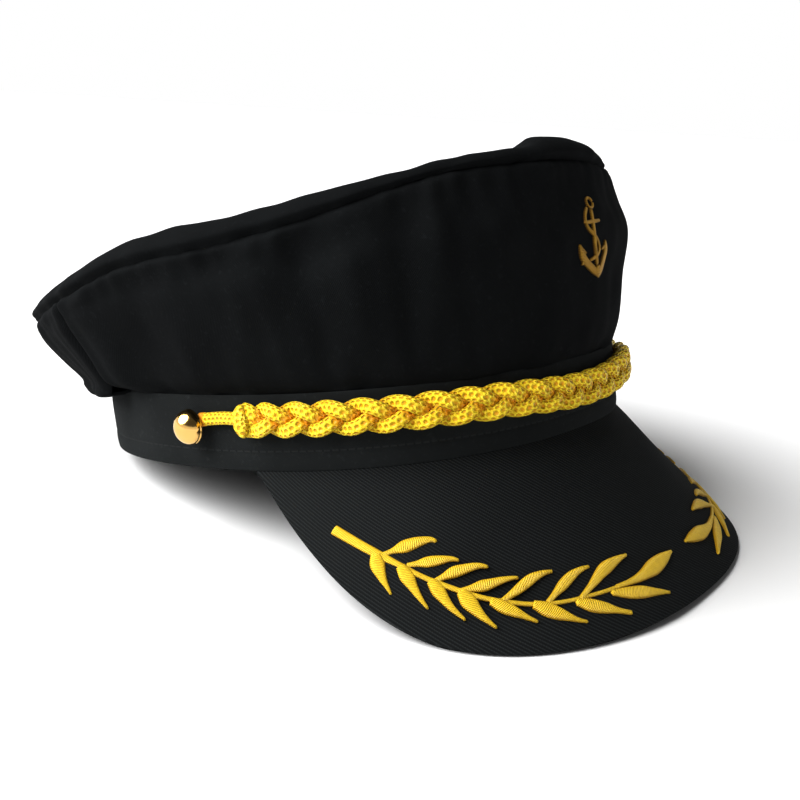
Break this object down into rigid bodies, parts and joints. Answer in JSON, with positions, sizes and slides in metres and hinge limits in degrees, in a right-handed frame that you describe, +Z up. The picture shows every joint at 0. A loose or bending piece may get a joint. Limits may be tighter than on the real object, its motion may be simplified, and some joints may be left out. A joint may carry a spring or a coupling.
{
  "type": "captain hat",
  "caption": "Soft black yacht captain hat: slanted crown on a round band, sloping peak with embroidered laurels, anchor on the front and a plaited gold cord between domed buttons.",
  "frame": {"origin": "On the surface that the hat rests on, under the middle of its outline.", "axes": "+Z up, -Y the way the wearer looks, so the peak is at -Y, and -X the wearer's right. The hat stands as it rests by itself, on the back of its band and on the edge of its peak, which tips the band up by 12.7 degrees at the front."},
  "size_m": [0.21, 0.287, 0.1403],
  "materials": {
    "black_cotton": "matt cotton twill, slightly faded on its folds",
    "black_twill": "matt cotton twill with a clear diagonal rib, over a stiff board",
    "gold_cord": "flat knitted metallic-yellow cord",
    "gold_thread": "satin-stitched golden thread with a silky sheen",
    "brass": "polished"
  },
  "bodies": {
    "root": {"crown_side": "black_cotton", "crown_back": "black_cotton", "crown_top": "black_cotton", "band": "black_cotton", "peak": "black_twill", "plait_strand_1": "gold_cord", "plait_strand_2": "gold_cord", "plait_strand_3": "gold_cord", "loop_cord_right": "gold_cord", "button_right": "brass", "laurel_right": "gold_thread", "loop_cord_left": "gold_cord", "button_left": "brass", "laurel_left": "gold_thread", "anchor": "gold_thread"}
  },
  "joints": []
}
